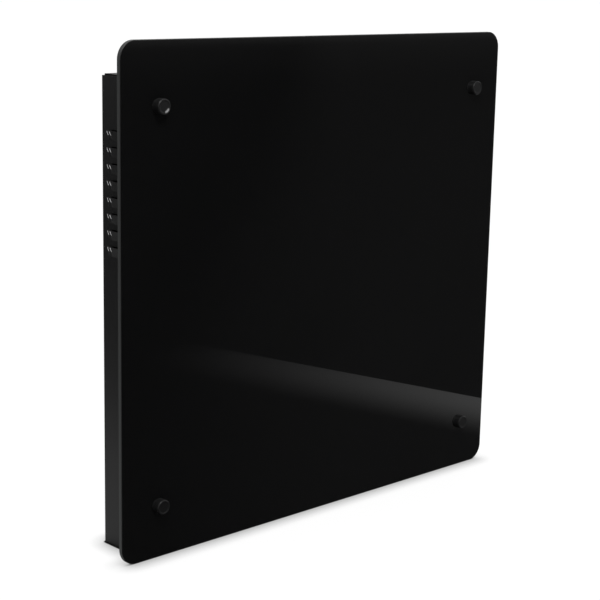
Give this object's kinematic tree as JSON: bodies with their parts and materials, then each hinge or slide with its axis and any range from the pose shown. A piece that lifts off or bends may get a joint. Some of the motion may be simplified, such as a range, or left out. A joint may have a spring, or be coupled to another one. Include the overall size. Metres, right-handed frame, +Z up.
{
  "type": "glass convector heater",
  "caption": "Slim convector heater with a black glass front on corner studs, louvred steel casing, side controls and wall hangers.",
  "frame": {"origin": "on the floor under the middle of the heater's box", "axes": "+X to the right seen from the front, +Y back to the wall, +Z up"},
  "size_m": [0.46, 0.08, 0.432],
  "materials": {
    "black_glass": "polished, toughened",
    "black_anodised": "black anodised, turned",
    "black_powder": "fine-textured black powder coat",
    "black_fastener": "black zinc",
    "zinc_steel": "zinc plated",
    "bright_aluminium": "mill finish",
    "ceramic": "unglazed",
    "brass": "stamped",
    "black_rubber": "matt",
    "black_plastic": "fine spark texture",
    "gloss_black": "polished",
    "amber_lens": "clear amber",
    "pale_plastic": "moulded",
    "wire_brown": "insulation",
    "wire_blue": "insulation",
    "wire_green": "insulation"
  },
  "bodies": {
    "casing": {"glass_panel": "black_glass", "glass_studs": "black_anodised", "stud_washers": "black_rubber", "glass_bushes": "black_rubber", "glass_spacers": "black_rubber", "stud_nuts": "zinc_steel", "casing_shell": "black_powder", "top_grille": "black_powder", "bottom_plate": "black_powder", "rear_cover": "black_powder", "rear_screws": "black_fastener", "hanger_left": "black_powder", "hanger_right": "black_powder", "hanger_rivets": "black_fastener", "wall_bumpers": "black_rubber", "element_fins": "bright_aluminium", "element_tube": "zinc_steel", "element_head": "ceramic", "element_pins": "brass", "element_bushes": "ceramic", "element_bracket": "zinc_steel", "partition_plate": "zinc_steel", "heat_reflector": "bright_aluminium", "thermal_cutout": "bright_aluminium", "cutout_screws": "zinc_steel", "control_fascia": "black_plastic", "thermostat_body": "black_plastic", "thermostat_nut": "zinc_steel", "power_switch": "black_plastic", "heat_switch": "black_plastic", "indicator_lamp": "amber_lens", "spade_tabs": "brass", "terminal_block": "pale_plastic", "terminal_screws": "zinc_steel", "earth_stud": "zinc_steel", "earth_nut": "zinc_steel", "live_wire": "wire_brown", "switched_wire": "wire_brown", "thermostat_wire": "wire_brown", "element_wire": "wire_brown", "heat_feed_wire": "wire_brown", "half_heat_wire": "wire_brown", "neutral_wire": "wire_blue", "earth_wire": "wire_green", "cord_gland": "black_plastic", "gland_nut": "black_plastic"},
    "knob": {"thermostat_knob": "black_plastic", "thermostat_shaft": "zinc_steel"},
    "power_lever": {"power_rocker": "gloss_black"},
    "heat_lever": {"heat_rocker": "gloss_black"}
  },
  "joints": [
    {"name": "thermostat_turn", "type": "hinge", "parent": "casing", "child": "knob", "pos_m": [0.2076, 0.003, 0.205], "axis": [-1, 0, 0], "range_deg": [0, 270]},
    {"name": "power_switch_rock", "type": "hinge", "parent": "casing", "child": "power_lever", "pos_m": [0.2078, 0.003, 0.152], "axis": [0, -1, 0], "range_deg": [0, 24]},
    {"name": "heat_switch_rock", "type": "hinge", "parent": "casing", "child": "heat_lever", "pos_m": [0.2078, 0.003, 0.119], "axis": [0, -1, 0], "range_deg": [0, 24]}
  ]
}
